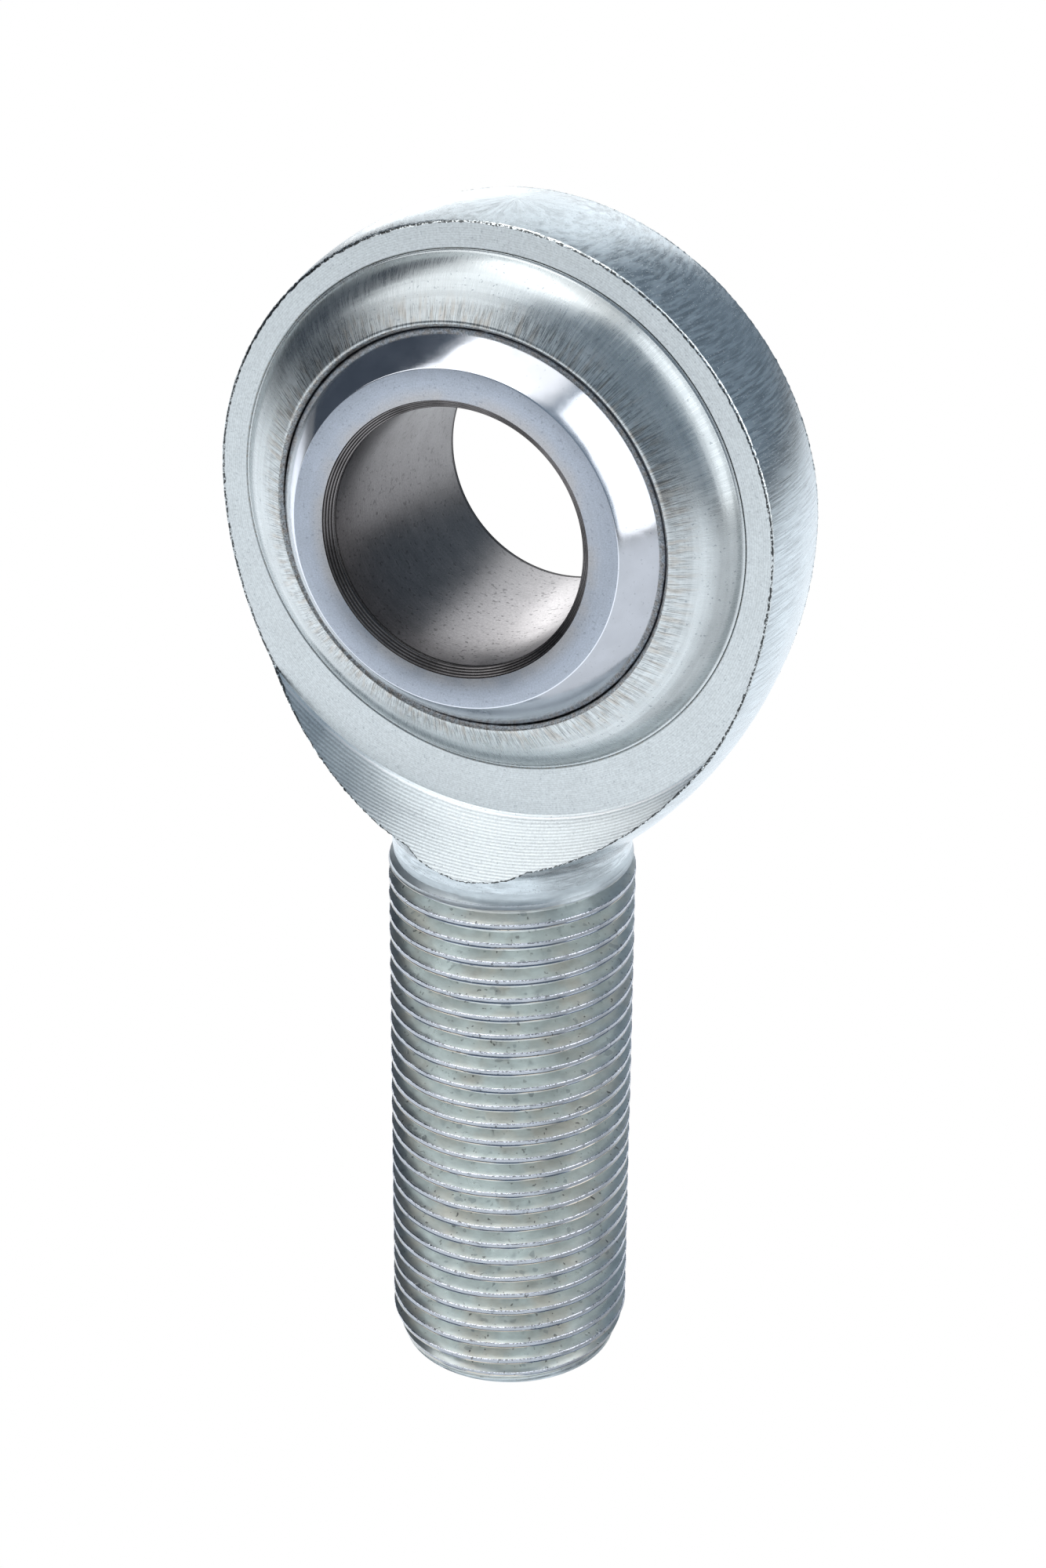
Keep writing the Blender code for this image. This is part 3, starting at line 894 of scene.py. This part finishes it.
def chamfer_steel():
    """The turned rings at the ends of the ball's bore, with light and dark bands at the rings' pitch painted
    on as highlight and shade.
    """
    graph = Metal("chamfer_steel")
    graph.polar()
    lines = graph.rings(12000.0, 2.0)
    grain = graph.noise(graph.place, 7000.0, 2.0, 0.6)
    along = graph.plus(graph.radius, graph.math("ABSOLUTE", graph.height))
    # Painted highlight and shade: a cosine at the pitch of the geometry's rings.
    ring = graph.math("COSINE", graph.times(along, math.pi * BORE_RINGS / BORE_CHAMFER))
    tone = graph.times(graph.step(lines, 0.36, 0.62, 0.6, 1.4), graph.step(ring, -0.6, 0.9, 0.55, 1.9))
    colour = graph.shade(CHAMFER_STEEL, tone)
    return graph.finish(colour, graph.spread(grain, 0.26, 0.38), graph.plus(lines, grain), 7e-6)


def bored_steel():
    """The inside of the bore: grey, marked round its axis, with pits, with a painted highlight towards one
    side and painted shade towards the other.
    """
    graph = Metal("bore_steel")
    graph.polar()
    marks = graph.streaks(graph.height, 7000.0, 4.0, 3.0, 0.6)
    grain = graph.noise(graph.place, 7000.0, 2.0, 0.65)
    cloud = graph.noise(graph.place, 420.0, 3.0, 0.6)
    pits = graph.spots(3200.0, 0.64, 0.70)
    tone = graph.times(graph.spread(marks, 0.90, 1.08), graph.spread(grain, 0.86, 1.12))
    tone = graph.times(tone, graph.spread(cloud, 0.86, 1.10))
    # Painted highlight and shade: lighter towards +u and +v of the bore, darker on the opposite side.
    painted_light_side = graph.plus(graph.times(graph.u, 0.50), graph.times(graph.v, 0.85))
    tone = graph.times(tone, graph.step(painted_light_side, 0.40, 1.05, 0.60, 1.75))
    colour = graph.mix(graph.times(pits, 0.6), graph.shade(BORE_STEEL, tone), BORE_PIT)
    roughness = graph.plus(graph.spread(cloud, 0.27, 0.36), graph.times(marks, 0.06))
    marked = graph.plus(graph.times(marks, 0.35), graph.times(pits, -0.8))
    relief = graph.plus(graph.times(grain, 0.5), marked)
    return graph.finish(colour, roughness, relief, 6e-6)


# ---------- studio

def direction(azimuth, elevation):
    """Unit vector; azimuth 0 points along -Y and grows towards +X."""
    return Vector((math.sin(azimuth) * math.cos(elevation), -math.cos(azimuth) * math.cos(elevation),
                   math.sin(elevation)))


def add_camera():
    back = direction(CAMERA_AZIMUTH, CAMERA_ELEVATION)
    right = Vector((math.cos(CAMERA_AZIMUTH), math.sin(CAMERA_AZIMUTH), 0.0))
    up = back.cross(right)
    turn = Matrix((right, up, back)).transposed().to_4x4()
    data = bpy.data.cameras.new("camera")
    data.lens = LENS_MM
    data.sensor_width = SENSOR_MM
    data.clip_start = 1.0 * MM
    data.clip_end = 50.0
    camera = add_object("camera", data)
    camera.matrix_world = (Matrix.Translation(CAMERA_TARGET + back * CAMERA_DISTANCE) @ turn
                           @ Matrix.Rotation(CAMERA_ROLL, 4, "Z"))
    bpy.context.scene.camera = camera


def add_stage():
    """A wide, pale paper floor."""
    mesh = bpy.data.meshes.new("floor")
    corners = [(x * FLOOR_REACH, y * FLOOR_REACH, 0.0) for x, y in ((-1, -1), (1, -1), (1, 1), (-1, 1))]
    mesh.from_pydata(corners, [], [(0, 1, 2, 3)])
    floor = mesh_object("floor", mesh, [paper()])


def paper():
    """Pale paper whose colour and glow are painted darker further out and towards +X as painted shade; its
    glow is painted light. The camera sees it as plain white, like the background.
    """
    graph = Metal("floor_paper")
    graph.polar()
    # Painted shade: darker with distance from the centre and towards +X.
    tone = graph.times(graph.step(graph.radius, 0.25, 0.90, 0.86, 0.18),
                       graph.step(graph.u, 0.68, 0.94, 1.0, 0.58))
    tinted = graph.vector(graph.times(tone, 0.97), tone, graph.times(tone, 1.04))
    graph.set("Metallic", 0.0)
    graph.set("Specular IOR Level", 0.1)
    graph.set("Roughness", 0.9)
    graph.set("Base Color", tinted)
    graph.set("Emission Color", WHITE)
    graph.set("Emission Strength", graph.times(tone, PAPER_GLOW))
    glow = graph.node("ShaderNodeEmission", {"Color": WHITE, "Strength": 1.0})
    ray = graph.node("ShaderNodeLightPath", {}, "Is Camera Ray")
    shown = graph.node("ShaderNodeMixShader", {0: ray, 1: graph.shader.outputs[0], 2: glow})
    graph.feed(graph.tree.nodes["Material Output"].inputs["Surface"], shown)
    return graph.material


def softbox(name, azimuth, elevation, wide, tall, radiance):
    """An area light aimed at the head. wide and tall are the angles that it covers, in degrees."""
    data = bpy.data.lights.new(name, "AREA")
    data.shape = "RECTANGLE"
    data.size = 2.0 * SOFTBOX_DISTANCE * math.tan(math.radians(wide / 2.0))
    data.size_y = 2.0 * SOFTBOX_DISTANCE * math.tan(math.radians(tall / 2.0))
    data.energy = radiance * math.pi * data.size * data.size_y
    light = add_object(name, data)
    out = direction(math.radians(azimuth), math.radians(elevation))
    light.location = CENTRE + out * SOFTBOX_DISTANCE
    light.rotation_mode = "QUATERNION"
    light.rotation_quaternion = out.to_track_quat("Z", "Y")
    light.visible_camera = False


def add_light():
    for box in SOFTBOXES:
        softbox(*box)
    world = bpy.data.worlds.new("studio")
    world.use_nodes = True
    add_sky(world.node_tree)
    bpy.context.scene.world = world
    bpy.context.scene.view_settings.view_transform = "Standard"


def add_sky(tree):
    """A dark room, darkest on the left, under a white ceiling; the camera itself sees plain white."""
    graph = Graph(tree)
    place = graph.node("ShaderNodeTexCoord", {}, "Generated")
    sideways = graph.node("ShaderNodeSeparateXYZ", {0: place}, "X")
    upward = graph.node("ShaderNodeSeparateXYZ", {0: place}, "Z")
    room = graph.mix(graph.step(sideways, -0.7, 0.1), ROOM_LEFT, ROOM_RIGHT)
    sky = graph.mix(graph.step(upward, 0.86, 0.96), room, CEILING)
    ray = graph.node("ShaderNodeLightPath", {}, "Is Camera Ray")
    graph.feed(tree.nodes["Background"].inputs["Color"], graph.mix(ray, sky, WHITE))


# ---------- the object

def edge_loops(mesh, first, second):
    """The closed lines along which two regions of a mesh meet, as lists of points."""
    mesh_edit = bmesh.new()
    mesh_edit.from_mesh(mesh)
    meets = {e for e in mesh_edit.edges if {f.material_index for f in e.link_faces} == {first, second}}
    loops = []
    while meets:
        edge = min(meets, key=lambda e: e.index)
        meets.discard(edge)
        start, corner = edge.verts
        line = [start.co.copy(), corner.co.copy()]
        while corner is not start:
            following = [e for e in corner.link_edges if e in meets]
            if not following:
                break
            meets.discard(following[0])
            corner = following[0].other_vert(corner)
            line.append(corner.co.copy())
        loops.append(line)
    mesh_edit.free()
    return loops


def even_points(line, spacing):
    """Points at equal distances along a closed line."""
    points = np.array([tuple(p) for p in line])
    lengths = np.concatenate([[0.0], np.cumsum(np.linalg.norm(np.diff(points, axis=0), axis=1))])
    places = np.linspace(0.0, lengths[-1], max(8, int(lengths[-1] / spacing)), endpoint=False)
    return np.stack([np.interp(places, lengths, points[:, k]) for k in range(3)], 1)


def unit_rows(rows):
    return rows / np.linalg.norm(rows, axis=1)[:, None]


def burr_ring(point, out, side, ringward):
    """The corners of the burr's section at a point of the edge. On the scoop it is a thin, wandering
    thread of metal. Along the flat face it is thicker, and sunk inwards and back from the face."""
    spot = Vector(point) / MM
    scoop = max(0.0, min(1.0, (abs(point[1]) - FACE_HALF_WIDTH) / BURR_BLEND))
    face = 1.0 - scoop
    wander = noise.noise(spot * 3.7 + Vector((9.0, 4.0, 2.0))) * MM
    thin = 0.060 * (0.75 + 0.9 * noise.noise(spot * 2.6) + 0.5 * noise.noise(spot * 7.0))
    wide = 0.135 * (0.95 + 0.35 * noise.noise(spot * 2.1))
    thick = max(0.010, thin * scoop + wide * face) * MM
    middle = point + (out * (0.075 * wander - 0.2 * thick) + side * 0.045 * wander) * scoop
    middle += ringward * (0.012 * wander - 0.66 * thick) * face
    middle[1] -= math.copysign(0.60 * thick * face, middle[1])
    corners = []
    for i in range(BURR_SIDES):
        turn = 2.0 * math.pi * i / BURR_SIDES
        reach = thick * (1.0 + 0.35 * noise.noise(spot * 5.0 + Vector((0.0, 0.0, i * 7.0))))
        corners.append(middle + (out * math.cos(turn) + side * math.sin(turn)) * reach)
    return corners


def burr_normals(mesh):
    """Normals of the burr. Along the flat face they lean outwards, so that it glints evenly."""
    normals = []
    for corner in mesh.loops:
        x, y, z = mesh.vertices[corner.vertex_index].co
        normal = mesh.corner_normals[corner.index].vector.copy()
        if abs(y) < FACE_HALF_WIDTH + 0.10 * MM:
            outward = Vector((x, 0.0, z - CENTRE.z)).normalized() * 0.83
            normal = normal * 0.3 + (outward + Vector((0.0, math.copysign(0.56, y), 0.0))) * 0.7
        normals.append(normal.normalized())
    return normals


def burr_mesh(body_mesh):
    """A ragged thread of metal along the edges that the milling left."""
    centre = np.array(tuple(CENTRE))
    mesh_edit = bmesh.new()
    for line in edge_loops(body_mesh, BARREL, MILLED):
        if len(line) < SHORTEST_EDGE_LINE:
            continue
        points = even_points(line, BURR_SPACING)
        along = unit_rows(np.roll(points, -1, 0) - np.roll(points, 1, 0))
        out = points - centre
        out = unit_rows(out - (out * along).sum(1)[:, None] * along)
        side = np.cross(along, out)
        ringward = unit_rows((points - centre) * np.array([1.0, 0.0, 1.0]))
        rows = [[mesh_edit.verts.new(corner) for corner in burr_ring(*place)]
                for place in zip(points, out, side, ringward)]
        for k, near in enumerate(rows):
            far = rows[(k + 1) % len(rows)]
            for i in range(BURR_SIDES):
                j = (i + 1) % BURR_SIDES
                mesh_edit.faces.new((near[i], near[j], far[j], far[i]))
    bmesh.ops.recalc_face_normals(mesh_edit, faces=mesh_edit.faces)
    mesh = to_mesh(mesh_edit, "head_edge_burr")
    mesh.shade_smooth()
    mesh.normals_split_custom_set(burr_normals(mesh))
    return mesh


def ball_region(radius, height):
    """Band, flat face, chamfer or bore. The chamfer's region takes in the bore's first rings."""
    chamfer_end = BALL_HALF_WIDTH - BORE_CHAMFER - BORE_RING_START - BORE_RINGS * BORE_RING_PITCH
    if radius > BORE_RADIUS + BORE_CHAMFER + 0.01 * MM:
        return FLAT if height > BALL_HALF_WIDTH - 0.002 * MM else BAND
    return CHAMFER if height > chamfer_end else BORE


def race_region(radius, height):
    """The lip and the outside, the lip's cut end, or the socket that holds the ball."""
    inside = BALL_RADIUS + RACE_BALL_GAP + 0.01 * MM
    if math.hypot(radius, height) < inside:
        return SOCKET
    return LIP_END if radius < LIP_CREST_RADIUS else LIP


def add_rod_body():
    """The head and shank, and the burr on the head's edges."""
    materials = [turned_zinc(), face_zinc(), seat_zinc(), rolled_zinc(), scoop_zinc()]
    mesh = rod_body_mesh(materials)
    body = mesh_object("rod_body_fine", mesh, materials[len(mesh.materials):])
    set_head_normals(mesh)
    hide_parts("rod_body")
    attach(body, "rod_body")

    burr = mesh_object("head_edge_burr", burr_mesh(mesh), [burr_zinc()])
    for face in mesh.polygons:
        if face.material_index == MILLED and abs(face.center.y) > FACE_HALF_WIDTH + ON_FACE:
            face.material_index = SCOOP
    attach(burr, "rod_body")


def add_race():
    race = mesh_object("race_fine", race_mesh(), [lip_zinc(), lip_end_zinc(), socket_painted_shade()])
    paint(race.data, race_region)
    race.matrix_world = BORE_FRAME
    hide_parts("race")
    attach(race, "race")


def add_ball():
    ball = mesh_object("ball_fine", ball_mesh(),
                       [polished_chrome(), satin_chrome(), chamfer_steel(), bored_steel()])
    paint(ball.data, ball_region)
    tip = Matrix.Rotation(BALL_TIP, 4, TIP_AXIS)
    ball.matrix_world = Matrix.Translation(CENTRE) @ tip @ LAID_OVER
    ball.data.set_sharp_from_angle(angle=BALL_SHARP_ANGLE)
    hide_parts("ball")
    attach(ball, "ball")


def main():
    add_rod_body()
    add_race()
    add_ball()
    add_camera()
    add_stage()
    add_light()


main()
